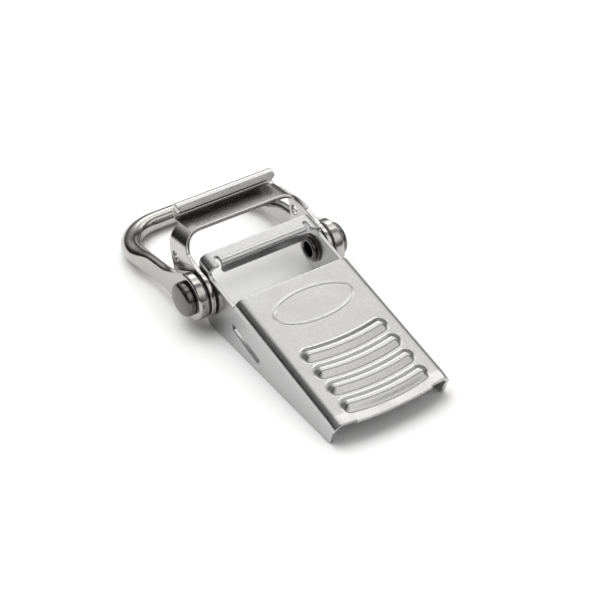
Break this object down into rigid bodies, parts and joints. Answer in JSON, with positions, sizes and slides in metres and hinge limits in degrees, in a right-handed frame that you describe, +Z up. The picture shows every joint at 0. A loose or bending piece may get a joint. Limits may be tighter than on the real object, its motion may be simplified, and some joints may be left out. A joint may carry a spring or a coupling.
{
  "type": "toggle latch",
  "caption": "Riveted stainless toggle latch: stamped thumb lever, hook frame that swings over it, and a bent wire bail, all turning on two side rivets.",
  "frame": {"origin": "under the middle of the latch, on the surface that it lies on", "axes": "+X towards the lever's tip, +Y across the latch along the rivet axis, +Z up"},
  "size_m": [0.0904, 0.0432, 0.0218],
  "materials": {
    "lever_steel": "satin stamped stainless sheet",
    "frame_steel": "bright rolled stainless sheet",
    "wire_steel": "drawn stainless wire",
    "rivet_steel": "tumbled stainless rivets and washers"
  },
  "bodies": {
    "lever_body": {"lever": "lever_steel", "pivot_rivet_left": "rivet_steel", "pivot_rivet_right": "rivet_steel", "backing_washer_left": "rivet_steel", "backing_washer_right": "rivet_steel", "lever_shim_left": "rivet_steel", "lever_shim_right": "rivet_steel", "bail_shim_left": "rivet_steel", "bail_shim_right": "rivet_steel"},
    "frame_body": {"hook_frame": "frame_steel"},
    "bail_body": {"bail": "wire_steel"}
  },
  "joints": [
    {"name": "frame_pivot", "type": "hinge", "parent": "lever_body", "child": "frame_body", "pos_m": [-0.007, 0, 0.0081], "axis": [0, 1, 0], "range_deg": [-170, 98]},
    {"name": "bail_pivot", "type": "hinge", "parent": "lever_body", "child": "bail_body", "pos_m": [-0.007, 0, 0.0081], "axis": [0, 1, 0], "range_deg": [-150, 181]}
  ]
}
